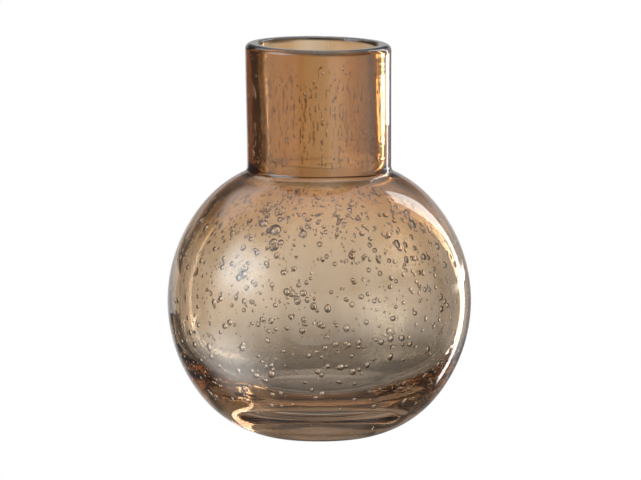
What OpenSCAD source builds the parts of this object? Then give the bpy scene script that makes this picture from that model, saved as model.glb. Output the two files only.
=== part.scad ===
// Glass bud vase: a round, thick-walled body of cased glass with a wide, straight neck.
// Millimetres, +Z up. The origin is at the centre of the foot, on the surface it stands on.
// Two gathers of glass are blown as one vessel: a clear outer casing over a thin amber lining.

/* [Overall] */
// Height from the foot to the crest of the lip
height = 160; // [156:0.5:164]

/* [Body] */
// Radius of the round body
body_r = 62.3; // [61:0.1:64]
// Height of the body's centre above the foot
body_z = 54; // [53:0.5:55.5]
// Angle below the centre at which the body turns in to the heel
heel_from = 39; // [36:1:42]
// Radius of the heel
heel_r = 44.5; // [44:0.1:46]
// Radius of the flat ground foot
foot_r = 24.8; // [23.5:0.1:25]
// Angle above the centre at which the body turns in to the shoulder
shoulder_from = 42; // [38:1:46]
// Radius of the shoulder
shoulder_r = 48; // [46:0.5:52]
// Radius of the hollow where the shoulder meets the neck
throat_r = 3.4; // [2:0.1:5]
// Radius of the same hollow on the inside, where the cavity turns up into the bore
waist_r = 14; // [10:0.5:17]

/* [Neck] */
// Outer radius at the foot of the neck
neck_r = 29.4; // [29:0.1:30]
// Outer radius just under the lip
mouth_r = 29.8; // [29.5:0.1:30.5]
// Radius of the straight bore
bore_r = 24.3; // [23.5:0.1:25]
// Radius of the rounding on the outside of the lip
lip_outer = 2.4; // [1.5:0.1:3]
// Radius of the rounding on the inside of the lip
lip_inner = 0.8; // [0.5:0.1:1]

/* [Glass] */
// Whole wall of the body, casing and lining together
body_wall = 4.4; // [3.8:0.1:5]
// Height of the cavity's floor above the foot
floor_z = 15.5; // [13:0.5:18]
// Radius of the flat part of the floor
floor_r = 24; // [20:0.5:26]
// Amber lining in the neck, where the gather was left thick
lining_neck = 1.5; // [1:0.1:2]
// Amber lining in the body, where the gather was blown out thin
lining_body = 0.6; // [0.3:0.1:0.9]
// Amber lining on the floor of the cavity, where the base was left nearly clear
lining_base = 0.2; // [0.1:0.1:0.5]

/* [Hidden] */
$fn = 160;

// Largest step along an arc, in degrees
arc_step = 3;
// The straight seam between casing and lining in the neck
seam_r = bore_r + lining_neck;
// How far the seam lies inside the body's outer surface
seam_depth = body_wall - lining_body;

// The centres of the arcs that turn in from the body lie on the radii where those arcs begin
body_c = [0, body_z];
heel_c = polar(body_c, body_r - heel_r, -heel_from);
shoulder_c = polar(body_c, body_r - shoulder_r, shoulder_from);

// Point at an angle and a distance from a centre
function polar(centre, r, angle) = centre + r * [cos(angle), sin(angle)];

// Direction from one point to another
function bearing(from, to) = atan2(to.y - from.y, to.x - from.x);

// Points along an arc, without the first, which the stretch before it ends on
function arc(centre, r, from, to) =
    let (steps = ceil(abs(to - from) / arc_step))
    [for (i = [1:steps]) polar(centre, r, from + (to - from) * i / steps)];

function reversed(points) = [for (i = [len(points) - 1:-1:0]) points[i]];

// Radius of the corner that joins a flat, ending at flat_r, to the inside of a circle, tangent to both
function corner_radius(centre, r, flat_z, flat_r) =
    let (drop = centre.y - flat_z)
    (r ^ 2 - drop ^ 2 - (flat_r - centre.x) ^ 2) / (2 * (r - drop));

// From the axis along a flat and round its corner, which runs into the arc about low_c
function flat_and_corner(low_c, low_r, flat_z, flat_r) =
    let (r = corner_radius(low_c, low_r, flat_z, flat_r), centre = [flat_r, flat_z + r])
    concat([[0, flat_z], [flat_r, flat_z]], arc(centre, r, -90, bearing(low_c, centre)));

// Direction in which the arc about low_c meets the corner of the flat
function corner_bearing(low_c, low_r, flat_z, flat_r) =
    bearing(low_c, [flat_r, flat_z + corner_radius(low_c, low_r, flat_z, flat_r)]);

// Round the body from an angle below its centre, over the shoulder and up the hollow into the neck.
// depth is how far the surface lies inside the outer one.
function round_and_shoulder(depth, from, hollow, neck) =
    let (
        turn_r = shoulder_r - depth,
        across = neck + hollow - shoulder_c.x,
        hollow_c = shoulder_c + [across, sqrt((turn_r + hollow) ^ 2 - across ^ 2)],
        meet = bearing(shoulder_c, hollow_c)
    )
    concat(
        arc(body_c, body_r - depth, from, shoulder_from),
        arc(shoulder_c, turn_r, shoulder_from, meet),
        arc(hollow_c, hollow, 180 + meet, 180)
    );

// A surface inside the glass, at a depth under the body's outer surface, with its own flat floor
function inner_surface(depth, flat_z, neck) =
    let (r = body_r - depth, from = corner_bearing(body_c, r, flat_z, floor_r))
    concat(
        flat_and_corner(body_c, r, flat_z, floor_r),
        round_and_shoulder(depth, from, waist_r + depth - body_wall, neck)
    );

// Each surface runs from the axis at the bottom to the top of the neck
outer_surface = concat(
    flat_and_corner(heel_c, heel_r, 0, foot_r),
    arc(heel_c, heel_r, corner_bearing(heel_c, heel_r, 0, foot_r), -heel_from),
    round_and_shoulder(0, -heel_from, throat_r, neck_r)
);
seam_surface = inner_surface(seam_depth, floor_z - lining_base, seam_r);
cavity_surface = inner_surface(body_wall, floor_z, bore_r);

// Clear outer gather: the outside of the body, the thick base and the outer part of the rounded lip
module clear_casing() {
    lip_foot = [mouth_r, height - lip_outer];
    lip = arc([mouth_r - lip_outer, height - lip_outer], lip_outer, 0, 90);
    color([0.80, 0.76, 0.70, 0.45])
        rotate_extrude() polygon(concat(outer_surface, [lip_foot], lip, [[seam_r, height]], reversed(seam_surface)));
}

// Amber inner gather: it lines the whole cavity and ends in the inner edge of the rounded lip
module amber_lining() {
    crest = [[seam_r, height], [bore_r + lip_inner, height]];
    lip = arc([bore_r + lip_inner, height - lip_inner], lip_inner, 90, 180);
    color([0.66, 0.42, 0.20, 0.60])
        rotate_extrude() polygon(concat(seam_surface, crest, lip, reversed(cavity_surface)));
}

clear_casing();
amber_lining();
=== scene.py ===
"""Looks of a hand-blown bud vase: clear casing over an amber lining, with air bubbles in the wall.

Everything is in metres, +Z up, with the centre of the foot at the origin.
"""

import math

import bpy
import numpy as np
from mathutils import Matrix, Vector


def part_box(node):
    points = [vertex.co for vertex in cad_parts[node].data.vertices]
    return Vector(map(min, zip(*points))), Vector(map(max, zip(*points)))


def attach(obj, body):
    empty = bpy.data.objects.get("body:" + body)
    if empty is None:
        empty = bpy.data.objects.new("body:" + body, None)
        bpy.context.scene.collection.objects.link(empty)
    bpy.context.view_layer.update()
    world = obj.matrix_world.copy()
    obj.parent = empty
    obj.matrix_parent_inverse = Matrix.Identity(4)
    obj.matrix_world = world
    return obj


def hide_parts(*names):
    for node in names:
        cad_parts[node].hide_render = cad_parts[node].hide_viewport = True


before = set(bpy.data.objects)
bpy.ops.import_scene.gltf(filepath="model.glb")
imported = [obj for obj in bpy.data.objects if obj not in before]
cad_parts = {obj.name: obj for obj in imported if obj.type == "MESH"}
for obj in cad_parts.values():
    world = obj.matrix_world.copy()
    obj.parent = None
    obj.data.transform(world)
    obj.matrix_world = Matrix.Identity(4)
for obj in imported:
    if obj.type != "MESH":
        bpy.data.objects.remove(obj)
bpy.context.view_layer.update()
MM = 0.001

# ---------------------------------------------------------------- sizes, from the frame where it has them
casing_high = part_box("clear_casing")[1]
lining_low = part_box("amber_lining")[0]
HEIGHT = casing_high.z
BODY_R = casing_high.x
BODY_Z = 54 * MM
HEEL_R = 44.5 * MM
HEEL_FROM = 39
FOOT_R = 24.8 * MM
SHOULDER_R = 48 * MM
SHOULDER_FROM = 42
THROAT_R = 3.4 * MM
WAIST_R = 14 * MM
NECK_R = 29.4 * MM
MOUTH_R = 29.8 * MM
BORE_R = 24.3 * MM
WALL = 4.4 * MM
LINING_NECK = 1.5 * MM
LIP_OUTER = 2.4 * MM
LIP_INNER = 0.8 * MM
LINING_BASE = 0.2 * MM
FLOOR_Z = lining_low.z + LINING_BASE
FLOOR_R = 24 * MM
SEAM_R = BORE_R + LINING_NECK
# Steps round the axis, how far the neck leans at the lip, and the slope that the lip is tilted by
SEGMENTS = 144
NECK_LEAN = 0.35 * MM
LIP_TILT = 0.012


# ---------------------------------------------------------------- outlines: radius and height, as arrays
def polar(centre, radius, degrees):
    """Point or points at angles and a distance from a centre: centre + radius (cos, sin)."""
    angle = np.radians(degrees)
    return np.stack([centre[0] + radius * np.cos(angle), centre[1] + radius * np.sin(angle)], axis=-1)


def bearing(start, end):
    return math.degrees(math.atan2(end[1] - start[1], end[0] - start[0]))


def arc(centre, radius, start, end, spacing=2.0 * MM, least=6):
    """Points along an arc about a centre, without its first point."""
    steps = max(least, math.ceil(radius * math.radians(abs(end - start)) / spacing))
    return polar(centre, radius, np.linspace(start, end, steps + 1)[1:])


def line(start, end, spacing=2.5 * MM):
    """Points along a straight stretch, without its first point."""
    start, end = np.array(start), np.array(end)
    steps = max(2, math.ceil(np.linalg.norm(end - start) / spacing))
    return start + (end - start) * np.linspace(0, 1, steps + 1)[1:, None]


def corner(centre, radius, flat_z, flat_r):
    """Arc tangent to a flat at flat_r and to the inside of a circle: its centre, radius and end angle."""
    drop = centre[1] - flat_z
    r = (radius**2 - drop**2 - (flat_r - centre[0]) ** 2) / (2 * (radius - drop))
    middle = (flat_r, flat_z + r)
    return middle, r, bearing(centre, middle)


BODY_C = np.array([0.0, BODY_Z])
HEEL_C = polar(BODY_C, BODY_R - HEEL_R, -HEEL_FROM)
SHOULDER_C = polar(BODY_C, BODY_R - SHOULDER_R, SHOULDER_FROM)


def body_to_neck(depth, start, hollow, neck):
    """Round the body, over the shoulder and up the hollow that is tangent to it and to the neck."""
    turn_r = SHOULDER_R - depth
    across = neck + hollow - SHOULDER_C[0]
    hollow_c = SHOULDER_C + [across, math.sqrt((turn_r + hollow) ** 2 - across**2)]
    meet = bearing(SHOULDER_C, hollow_c)
    return np.concatenate([
        arc(BODY_C, BODY_R - depth, start, SHOULDER_FROM),
        arc(SHOULDER_C, turn_r, SHOULDER_FROM, meet),
        arc(hollow_c, hollow, 180 + meet, 180, 0.6 * MM),
    ])


def outer_outline():
    """From the centre of the foot, round the heel and the body, up the neck and over the lip."""
    foot_c, foot_corner_r, meet = corner(HEEL_C, HEEL_R, 0, FOOT_R)
    body = np.concatenate([
        [(0, 0)],
        line((0, 0), (FOOT_R, 0)),
        arc(foot_c, foot_corner_r, -90, meet, 0.5 * MM),
        arc(HEEL_C, HEEL_R, meet, -HEEL_FROM),
        body_to_neck(0, -HEEL_FROM, THROAT_R, NECK_R),
    ])
    lip_c = (MOUTH_R - LIP_OUTER, HEIGHT - LIP_OUTER)
    return np.concatenate([
        body,
        line(body[-1], (MOUTH_R, HEIGHT - LIP_OUTER)),
        arc(lip_c, LIP_OUTER, 0, 90, 0.25 * MM),
        line((lip_c[0], HEIGHT), (BORE_R + LIP_INNER, HEIGHT), 0.5 * MM),
        arc((BORE_R + LIP_INNER, HEIGHT - LIP_INNER), LIP_INNER, 90, 180, 0.15 * MM),
    ])


def inner_outline(depth, flat_z, neck, top):
    """From the centre of a floor, up a surface at a depth inside the body, to a height in the neck."""
    radius = BODY_R - depth
    floor_c, floor_corner_r, meet = corner(BODY_C, radius, flat_z, FLOOR_R)
    body = np.concatenate([
        [(0, flat_z)],
        line((0, flat_z), (FLOOR_R, flat_z)),
        arc(floor_c, floor_corner_r, -90, meet),
        body_to_neck(depth, meet, WAIST_R + depth - WALL, neck),
    ])
    return np.concatenate([body, line(body[-1], (neck, top))])


def cavity_outline():
    return inner_outline(WALL, FLOOR_Z, BORE_R, HEIGHT - LIP_INNER)


# ---------------------------------------------------------------- hand-made irregularity
def smoothstep(x, low, high):
    t = np.clip((x - low) / (high - low), 0, 1)
    return t * t * (3 - 2 * t)


def waves(angle, z, seed, amount, turns, rate):
    """Sum of a few sine waves round the axis and along it, each of its own turn count, rate and phase."""
    rng = np.random.default_rng(seed)
    total = np.zeros_like(angle)
    for k in range(7):
        n = rng.integers(turns[0], turns[1] + 1)
        along = rng.uniform(rate[0], rate[1]) * rng.choice((-1, 1))
        total += np.sin(n * angle + along * z + rng.uniform(0, 2 * np.pi)) / 7
    return amount * total


def outside_waves(angle, z):
    """Slow swells and finer ones on the outside of the wall."""
    swells = waves(angle, z, 3, 0.10 * MM, (1, 4), (20, 60))
    return swells + waves(angle, z, 5, 0.03 * MM, (3, 9), (60, 160))


def inside_waves(angle, z):
    """The same on the inside, where the glass was free and is less even."""
    swells = waves(angle, z, 7, 0.30 * MM, (1, 5), (20, 80))
    return swells + waves(angle, z, 9, 0.06 * MM, (4, 12), (60, 200))


def hand_set(points):
    """Leans the neck and tilts the lip by under a degree, as a gaffer leaves them."""
    up = smoothstep(points[:, 2], 0.108, HEIGHT)
    points = points.copy()
    points[:, 2] -= LIP_TILT * points[:, 0] * up
    points[:, 0] -= NECK_LEAN * up
    return points


# ---------------------------------------------------------------- meshes
def make_piece(name, points, quads, triangles):
    """Mesh object from arrays of points, four-sided faces and three-sided faces, shaded smooth."""
    mesh = bpy.data.meshes.new(name)
    mesh.vertices.add(len(points))
    mesh.vertices.foreach_set("co", points.astype(np.float32).ravel())
    mesh.loops.add(quads.size + triangles.size)
    corners = np.concatenate([quads.ravel(), triangles.ravel()])
    mesh.loops.foreach_set("vertex_index", corners.astype(np.int32))
    starts = np.concatenate([np.arange(len(quads)) * 4, quads.size + np.arange(len(triangles)) * 3])
    mesh.polygons.add(len(starts))
    mesh.polygons.foreach_set("loop_start", starts.astype(np.int32))
    mesh.polygons.foreach_set("use_smooth", np.ones(len(starts), bool))
    mesh.update(calc_edges=True)
    mesh.validate()
    piece = bpy.data.objects.new(name, mesh)
    bpy.context.scene.collection.objects.link(piece)
    return piece


def lathe(outline, swell):
    """Closed surface of an outline that runs from the axis to the axis.

    Point (i, j) is outline point i, its radius grown by swell(angle, height, i), turned to angle j.
    The two ends are poles.
    """
    angle = np.arange(SEGMENTS) * 2 * np.pi / SEGMENTS
    rings = outline[1:-1]
    count = len(rings)
    turn, row = np.meshgrid(angle, np.arange(count), indexing="xy")
    radius, height = rings[row, 0], rings[row, 1]
    radius = radius + swell(turn, height, row) * smoothstep(radius, 2 * MM, 16 * MM)
    grid = np.stack([radius * np.cos(turn), radius * np.sin(turn), height], axis=-1).reshape(-1, 3)
    points = np.concatenate([grid, [[0, 0, outline[0, 1]], [0, 0, outline[-1, 1]]]])
    here = np.arange(count * SEGMENTS).reshape(count, SEGMENTS)
    beside = np.roll(here, -1, axis=1)
    quads = np.stack([here[:-1], beside[:-1], beside[1:], here[1:]], axis=-1).reshape(-1, 4)
    first = np.stack([np.full(SEGMENTS, count * SEGMENTS), beside[0], here[0]], axis=-1)
    last = np.stack([np.full(SEGMENTS, count * SEGMENTS + 1), here[-1], beside[-1]], axis=-1)
    return points, quads, np.concatenate([first, last])


def globe(rows, around):
    """Unit sphere of a few dozen faces: rings at even steps from pole to pole."""
    tilt = np.pi * np.arange(1, rows) / rows
    turn = 2 * np.pi * np.arange(around) / around
    ring = np.stack([
        np.outer(np.sin(tilt), np.cos(turn)),
        np.outer(np.sin(tilt), np.sin(turn)),
        np.outer(np.cos(tilt), np.ones(around)),
    ], axis=-1).reshape(-1, 3)
    points = np.concatenate([ring, [[0, 0, 1], [0, 0, -1]]])
    here = np.arange((rows - 1) * around).reshape(rows - 1, around)
    beside = np.roll(here, -1, axis=1)
    quads = np.stack([here[:-1], here[1:], beside[1:], beside[:-1]], axis=-1).reshape(-1, 4)
    top = np.stack([np.full(around, len(ring)), here[0], beside[0]], axis=-1)
    bottom = np.stack([np.full(around, len(ring) + 1), beside[-1], here[-1]], axis=-1)
    return points, quads, np.concatenate([top, bottom])


def voids(centres, out, up, sizes, rows, around):
    """One closed void at each centre: the unit sphere, stretched by sizes across, up and out of the wall.

    Its faces look into the void, which is outwards for the glass around it.
    """
    unit, quads, triangles = globe(rows, around)
    across = np.cross(up, out)
    local = unit[None, :, :] * sizes[:, None, :]
    points = (centres[:, None, :] + local[..., 0:1] * across[:, None, :]
              + local[..., 1:2] * up[:, None, :] + local[..., 2:3] * out[:, None, :])
    first = (np.arange(len(centres)) * len(unit))[:, None, None]
    return (points.reshape(-1, 3), (quads[None, :, ::-1] + first).reshape(-1, 4),
            (triangles[None, :, ::-1] + first).reshape(-1, 3))


def join(parts):
    """One set of points and faces from several."""
    points, quads, triangles, first = [], [], [], 0
    for p, q, t in parts:
        points.append(p)
        quads.append(q + first)
        triangles.append(t + first)
        first += len(p)
    return np.concatenate(points), np.concatenate(quads), np.concatenate(triangles)


# ---------------------------------------------------------------- bubbles
def any_size(rng, count, least, most):
    """Sizes between two limits, the small ones the more often."""
    return least * (most / least) ** (rng.uniform(0, 1, count) ** 1.6)


def body_places(azimuth, latitude, depth):
    """Places in the wall of the round body, from angles in degrees and a depth under the outside."""
    turn, tilt = np.radians(azimuth), np.radians(latitude)
    out = np.stack([np.cos(tilt) * np.cos(turn), np.cos(tilt) * np.sin(turn), np.sin(tilt)], axis=-1)
    up = np.stack([-np.sin(tilt) * np.cos(turn), -np.sin(tilt) * np.sin(turn), np.cos(tilt)], axis=-1)
    inside = np.array([0, 0, BODY_Z]) + out * (BODY_R - depth)[:, None]
    # The shoulder lies inside the round of the body, so the bubbles under it are let down with it
    inside[:, 2] -= 0.9 * MM * smoothstep(latitude, SHOULDER_FROM, SHOULDER_FROM + 20)
    return inside, out, up


def body_voids(rng, count, latitude, radius, stretch, flat):
    """Bubbles all round the body: their latitudes, radii, stretch up the wall and how flat they are."""
    low, high = np.sin(np.radians(latitude))
    tilt = np.degrees(np.arcsin(rng.uniform(low, high, count)))
    size = any_size(rng, count, *radius)
    inside, out, up = body_places(rng.uniform(0, 360, count), tilt, rng.uniform(1.3, 2.7, count) * MM)
    return inside, out, up, np.stack([size, size * rng.uniform(*stretch, count), size * flat], axis=-1)


def string_of_voids(rng, azimuths, latitude, radius):
    """A row of bubbles of much the same size, left where one long bubble broke up."""
    count = len(azimuths)
    latitudes = latitude + rng.uniform(-2, 2, count)
    inside, out, up = body_places(np.array(azimuths, float), latitudes, np.full(count, 2 * MM))
    size = radius * rng.uniform(0.8, 1.15, count)
    return inside, out, up, np.stack([size, size * rng.uniform(0.85, 1.1, count), size * 0.36], axis=-1)


def neck_voids(rng, count, height, radius, stretch):
    """Bubbles in the wall of the neck, drawn out along it."""
    turn = np.radians(rng.uniform(0, 360, count))
    out = np.stack([np.cos(turn), np.sin(turn), np.zeros(count)], axis=-1)
    up = np.tile([0.0, 0.0, 1.0], (count, 1))
    size = any_size(rng, count, *radius)
    inside = out * (SEAM_R + rng.uniform(0.8, 2.4, count) * MM)[:, None]
    inside[:, 2] = rng.uniform(*height, count)
    return inside, out, up, np.stack([size, size * rng.uniform(*stretch, count), size], axis=-1)


def base_voids(rng, count):
    """Seeds in the thick base, all over its disc."""
    turn = rng.uniform(0, 2 * np.pi, count)
    r = 34 * MM * np.sqrt(rng.uniform(0, 1, count))
    centres = np.stack([r * np.cos(turn), r * np.sin(turn), rng.uniform(5, 12, count) * MM], axis=-1)
    out = np.tile([0.0, 0.0, 1.0], (count, 1))
    up = np.tile([0.0, 1.0, 0.0], (count, 1))
    size = rng.uniform(0.1, 0.28, count) * MM
    return centres, out, up, np.stack([size, size, size], axis=-1)


def all_voids():
    """Fine seeds and larger rings. The order of the groups sets the draws, and so where each bubble is."""
    rng = np.random.default_rng(11)
    seed, ring = (0.30 * MM, 0.66 * MM), (0.85 * MM, 1.6 * MM)
    seeds = [
        neck_voids(rng, 330, (0.113, 0.156), (0.28 * MM, 0.52 * MM), (0.9, 2.4)),
        neck_voids(rng, 260, (0.112, 0.146), (0.26 * MM, 0.44 * MM), (2.5, 8.0)),
        body_voids(rng, 600, (33, 58), seed, (1.0, 2.4), 0.7),
        body_voids(rng, 340, (6, 40), seed, (1.0, 1.8), 0.7),
        body_voids(rng, 460, (-36, 10), seed, (0.9, 1.3), 0.7),
        base_voids(rng, 120),
    ]
    rings = [
        body_voids(rng, 80, (28, 50), ring, (0.9, 1.5), 0.42),
        body_voids(rng, 265, (-4, 32), ring, (0.9, 1.3), 0.42),
        body_voids(rng, 215, (-38, -2), ring, (0.9, 1.2), 0.42),
        string_of_voids(rng, (-84, -79, -75, -66, -62, -57, -53), -8, 1.35 * MM),
        string_of_voids(rng, (-118, -111), 37, 2.6 * MM),
    ]
    fine = [voids(*group, rows=4, around=6) for group in seeds]
    return fine + [voids(*group, rows=5, around=8) for group in rings]


# ---------------------------------------------------------------- the two gathers
def casing_piece():
    """The whole wall of the vessel, lip and all, with the bubbles as voids inside it."""
    outer = outer_outline()
    cavity = cavity_outline()
    outline = np.concatenate([outer[:-1], cavity[::-1]])
    first_inner = len(outer) - 2

    def swell(turn, z, row):
        return np.where(row < first_inner, outside_waves(turn, z), inside_waves(turn, z))

    points, quads, triangles = join([lathe(outline, swell), *all_voids()])
    return make_piece("casing_glass", hand_set(points), quads, triangles)


def offset(outline, distance):
    """An outline moved sideways along its own normals, by a distance for each of its points."""
    along = np.gradient(outline, axis=0)
    along /= np.linalg.norm(along, axis=1)[:, None]
    return outline + np.stack([along[:, 1], -along[:, 0]], axis=-1) * np.asarray(distance)[:, None]


def lining_piece():
    """Thin closed skin of amber just inside the cavity's wall, thinner and thinner down from the neck.

    It has waves of its own on the side next to the wall, which give the neck its drawn streaks of colour.
    """
    cavity = cavity_outline()
    z = cavity[:, 1]
    thick = 0.09 * MM + 0.20 * MM * smoothstep(z, FLOOR_Z, 32 * MM)
    thick += 0.28 * MM * smoothstep(z, 30 * MM, 52 * MM)
    thick += 1.08 * MM * smoothstep(z, 70 * MM, 108 * MM)
    inner = offset(cavity, np.full(len(cavity), 0.05 * MM))
    outer = offset(cavity, thick)
    inner[0, 0] = outer[0, 0] = 0
    outline = np.concatenate([outer, inner[::-1]])

    def swell(turn, z, row):
        drawn = waves(turn, z, 22, 0.75 * MM, (4, 11), (0, 6)) * smoothstep(z, 92 * MM, 114 * MM)
        return inside_waves(turn, z) + np.where(row < len(outer) - 1, drawn, 0)

    points, quads, triangles = lathe(outline, swell)
    return make_piece("amber_skin", hand_set(points), quads, triangles)


# ---------------------------------------------------------------- materials
class Nodes:
    """Short calls for the maths nodes of one node tree."""

    def __init__(self, tree):
        self.tree = tree

    def add(self, kind):
        return self.tree.nodes.new(kind)

    def put(self, socket, value):
        if isinstance(value, bpy.types.NodeSocket):
            self.tree.links.new(value, socket)
        else:
            socket.default_value = value

    def maths(self, operation, a, b=0.0):
        node = self.add("ShaderNodeMath")
        node.operation = operation
        self.put(node.inputs[0], a)
        self.put(node.inputs[1], b)
        return node.outputs[0]

    def ramp(self, value, low, high, at_low=0.0, at_high=1.0):
        """Smooth step of a value from at_low to at_high."""
        node = self.add("ShaderNodeMapRange")
        node.interpolation_type = "SMOOTHSTEP"
        self.put(node.inputs["Value"], value)
        for name, number in (("From Min", low), ("From Max", high), ("To Min", at_low), ("To Max", at_high)):
            node.inputs[name].default_value = number
        return node.outputs[0]

    def window(self, value, low, high, edge):
        """1 between low and high, falling to 0 over an edge on each side."""
        falling = self.ramp(value, high, high + edge, 1.0, 0.0)
        return self.maths("MULTIPLY", self.ramp(value, low - edge, low), falling)

    def mix(self, share, a, b):
        node = self.add("ShaderNodeMix")
        node.data_type = "RGBA"
        self.put(node.inputs[0], share)
        self.put(node.inputs[6], a)
        self.put(node.inputs[7], b)
        return node.outputs[2]


def glass(name, ior, absorb_colour, absorb_density, drawn, pale, deep, ream):
    """Clear dielectric with a plain absorbing inside.

    The tint wanders from pale to deep in streaks drawn out along the axis, and the surface has a faint ream.
    """
    material = bpy.data.materials.new(name)
    material.use_nodes = True
    tree = material.node_tree
    n = Nodes(tree)
    shader = tree.nodes["Principled BSDF"]
    shader.inputs["Roughness"].default_value = 0.0
    shader.inputs["IOR"].default_value = ior
    shader.inputs["Transmission Weight"].default_value = 1.0
    place = n.add("ShaderNodeMapping")
    n.put(place.inputs["Vector"], n.add("ShaderNodeTexCoord").outputs["Object"])
    place.inputs["Scale"].default_value = drawn
    streaks = n.add("ShaderNodeTexNoise")
    n.put(streaks.inputs["Vector"], place.outputs[0])
    streaks.inputs["Scale"].default_value = 1.0
    streaks.inputs["Detail"].default_value = 3.0
    n.put(shader.inputs["Base Color"], n.mix(n.ramp(streaks.outputs["Fac"], 0.35, 0.65), deep, pale))
    if ream:
        cords = n.add("ShaderNodeMapping")
        n.put(cords.inputs["Vector"], n.add("ShaderNodeTexCoord").outputs["Object"])
        cords.inputs["Scale"].default_value = (60, 60, 330)
        wander = n.add("ShaderNodeTexNoise")
        n.put(wander.inputs["Vector"], cords.outputs[0])
        wander.inputs["Scale"].default_value = 1.0
        bump = n.add("ShaderNodeBump")
        bump.inputs["Strength"].default_value = 1.0
        bump.inputs["Distance"].default_value = ream
        n.put(bump.inputs["Height"], wander.outputs["Fac"])
        n.put(shader.inputs["Normal"], bump.outputs[0])
    absorb = n.add("ShaderNodeVolumeAbsorption")
    absorb.inputs["Color"].default_value = (*absorb_colour, 1)
    absorb.inputs["Density"].default_value = absorb_density
    n.put(tree.nodes["Material Output"].inputs["Volume"], absorb.outputs["Volume"])
    return material


# ---------------------------------------------------------------- studio
ROOM = 0.11


def studio_world():
    """Bright sweep behind, dark room in front, a softbox on the left and an upright strip on the right.

    behind is the angle in degrees from straight behind the vase, to the right. Each light is a share of the
    sphere round the vase, between 0 and 1, and its strength.
    """
    world = bpy.data.worlds.new("studio")
    bpy.context.scene.world = world
    world.use_nodes = True
    n = Nodes(world.node_tree)
    background = world.node_tree.nodes["Background"]
    split = n.add("ShaderNodeSeparateXYZ")
    n.put(split.inputs[0], n.add("ShaderNodeTexCoord").outputs["Generated"])
    x, y, z = split.outputs
    behind = n.maths("MULTIPLY", n.maths("ARCTAN2", x, y), math.degrees(1))
    elevation = n.maths("MULTIPLY", n.maths("ARCSINE", z), math.degrees(1))

    def patch(side, side_edge, height, height_edge):
        sides = n.window(behind, *side, side_edge)
        return n.maths("MULTIPLY", sides, n.window(elevation, *height, height_edge))

    far_edge = n.maths("SUBTRACT", behind, n.ramp(elevation, 6, 36, 0.0, 9.0))
    strip = n.maths("MULTIPLY", n.ramp(behind, 35, 36.5), n.ramp(far_edge, 41.5, 43, 1.0, 0.0))
    slant = n.maths("SUBTRACT", behind, n.maths("MULTIPLY", elevation, 1.3))
    across = n.maths("MULTIPLY", n.ramp(behind, -28, -14), n.ramp(slant, 8, 30, 1.0, 0.0))
    upright = n.maths("MULTIPLY", n.ramp(elevation, -47, -5), n.ramp(elevation, -2.5, 7, 1.0, 0.15))
    lights = [
        # The sweep, the ceiling and the table
        (n.maths("MULTIPLY", across, upright), 0.65),
        (n.ramp(elevation, 16, 89), 2.1),
        (n.ramp(elevation, -62, -50, 1.0, 0.0), 0.3),
        # Bounce off the wall above the sweep, and off the sweep's right side
        (patch((-25, 25), 10, (5, 10), 2), 0.42),
        (patch((10, 60), 20, (-20, -1), 10), 0.12),
        # Low light and dim wall on the left
        (patch((-104, -92), 36, (-40, -28), 19), 3.4),
        (patch((-140, -92), 12, (-40, 40), 12), 0.8),
        # The strip and the glow round it
        (n.maths("MULTIPLY", strip, n.window(elevation, -28, 43, 2.5)), 4.6),
        (patch((32, 60), 15, (-18, 43), 7), 0.5),
        # Fill from the right, and a window high up behind on the left
        (patch((86, 156), 14, (-16, 8), 10), 1.2),
        (patch((-62, -38), 14, (34, 48), 8), 1.4),
    ]
    light = ROOM
    for share, strength in lights:
        light = n.maths("ADD", n.maths("MULTIPLY", share, strength), light)
    room = n.add("ShaderNodeCombineColor")
    softbox = patch((-121, -105), 22, (19, 27), 20)
    for channel, tint, cool in zip(room.inputs, (1.0, 0.985, 0.965), (3.4, 4.3, 5.1)):
        n.put(channel, n.maths("ADD", n.maths("MULTIPLY", light, tint), n.maths("MULTIPLY", softbox, cool)))
    lit = room.outputs[0]
    seen = n.add("ShaderNodeLightPath").outputs["Is Camera Ray"]
    n.put(background.inputs["Color"], n.mix(seen, lit, (1, 1, 1, 1)))


def studio_floor():
    """White floor for the eye only: the glass doesn't see it, and takes its light from the studio."""
    bpy.ops.mesh.primitive_plane_add(size=24, location=(0, 0, -0.2 * MM))
    floor = bpy.context.object
    floor.name = "floor"
    material = bpy.data.materials.new("pale_floor")
    material.use_nodes = True
    n = Nodes(material.node_tree)
    material.node_tree.nodes.remove(material.node_tree.nodes["Principled BSDF"])
    glow = n.add("ShaderNodeEmission")
    glow.inputs["Color"].default_value = (1, 1, 1, 1)
    n.put(material.node_tree.nodes["Material Output"].inputs["Surface"], glow.outputs[0])
    floor.data.materials.append(material)
    floor.visible_transmission = False
    floor.visible_glossy = False
    return floor


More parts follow.
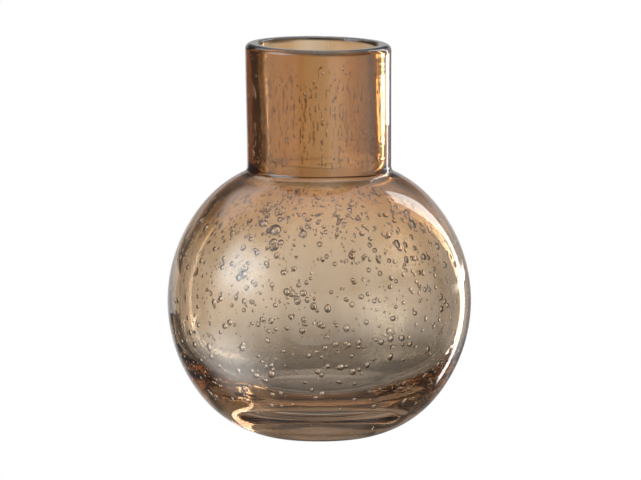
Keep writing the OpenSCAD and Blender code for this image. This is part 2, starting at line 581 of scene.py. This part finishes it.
def glow_card(name, sides, heights, away, strength, tube=0.0):
    """Upright card bent round the vase, lit from within, that shows only in the glass.

    Point (i, j) is at angle i from straight behind, at the distance away, and at the low or the high edge.
    tube is the strength that the strip light adds where it stands across the card.
    """
    count = 17
    turn = np.radians(np.linspace(*sides, count))
    low, high = heights
    ring = np.stack([away * np.sin(turn), away * np.cos(turn)], axis=-1)
    points = np.concatenate([np.c_[ring, np.full(count, low)], np.c_[ring, np.full(count, high)]])
    here = np.arange(count - 1)
    quads = np.stack([here, here + 1, here + count + 1, here + count], axis=-1)
    card = make_piece(name, points, quads, np.zeros((0, 3), int))
    material = bpy.data.materials.new(name)
    material.use_nodes = True
    n = Nodes(material.node_tree)
    material.node_tree.nodes.remove(material.node_tree.nodes["Principled BSDF"])
    glow = n.add("ShaderNodeEmission")
    split = n.add("ShaderNodeSeparateXYZ")
    n.put(split.inputs[0], n.add("ShaderNodeTexCoord").outputs["Object"])
    behind = n.maths("MULTIPLY", n.maths("ARCTAN2", split.outputs[0], split.outputs[1]), math.degrees(1))
    across = n.maths("MULTIPLY", n.window(behind, 34, 45, 1.5), tube)
    n.put(glow.inputs["Strength"], n.maths("ADD", across, strength))
    n.put(material.node_tree.nodes["Material Output"].inputs["Surface"], glow.outputs[0])
    card.data.materials.append(material)
    card.visible_camera = False
    card.visible_shadow = False
    return card


def studio_camera():
    """Long lens, a little under nine degrees above the horizon."""
    camera = bpy.data.objects.new("camera", bpy.data.cameras.new("camera"))
    bpy.context.scene.collection.objects.link(camera)
    bpy.context.scene.camera = camera
    camera.data.lens = 252.7
    camera.data.sensor_width = 36
    elevation, distance, above = math.radians(8.72), 1.843, 81.9 * MM
    camera.location = (0, -distance * math.cos(elevation), above + distance * math.sin(elevation))
    aim = Vector((0.53 * MM, 0, 79.0 * MM))
    camera.rotation_euler = (aim - camera.location).to_track_quat("-Z", "Y").to_euler()
    return camera


# ---------------------------------------------------------------- the scene
studio_camera()
WHITE = (1, 1, 1, 1)
casing = casing_piece()
smoky_clear = glass("casing_glass", ior=1.5, absorb_colour=(0.5, 0.333, 0.167), absorb_density=19,
                    drawn=(90, 90, 14), pale=WHITE, deep=(0.99, 0.988, 0.985, 1), ream=0.012 * MM)
casing.data.materials.append(smoky_clear)
# The skin bends no light: the casing does that for the whole wall, and the skin only colours it
lining = lining_piece()
deep_amber = glass("amber_glass", ior=1.0, absorb_colour=(0.743, 0.453, 0.043), absorb_density=700,
                   drawn=(110, 110, 6), pale=WHITE, deep=(0.97, 0.945, 0.905, 1), ream=0)
lining.data.materials.append(deep_amber)
studio_world()
floor = studio_floor()
cards = [
    glow_card("side_card", (29, 57), (0.001, 0.052), 1.0, 2.2, 9.0),
    glow_card("low_card", (-51, -24), (-0.002, 0.068), 0.3, 0.7),
]

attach(casing, "root")
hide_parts("clear_casing")
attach(lining, "root")
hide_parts("amber_lining")

scene = bpy.context.scene
scene.view_settings.view_transform = "Standard"
scene.cycles.use_denoising = True
scene.cycles.max_bounces = 40
scene.cycles.transmission_bounces = 40
scene.cycles.glossy_bounces = 12
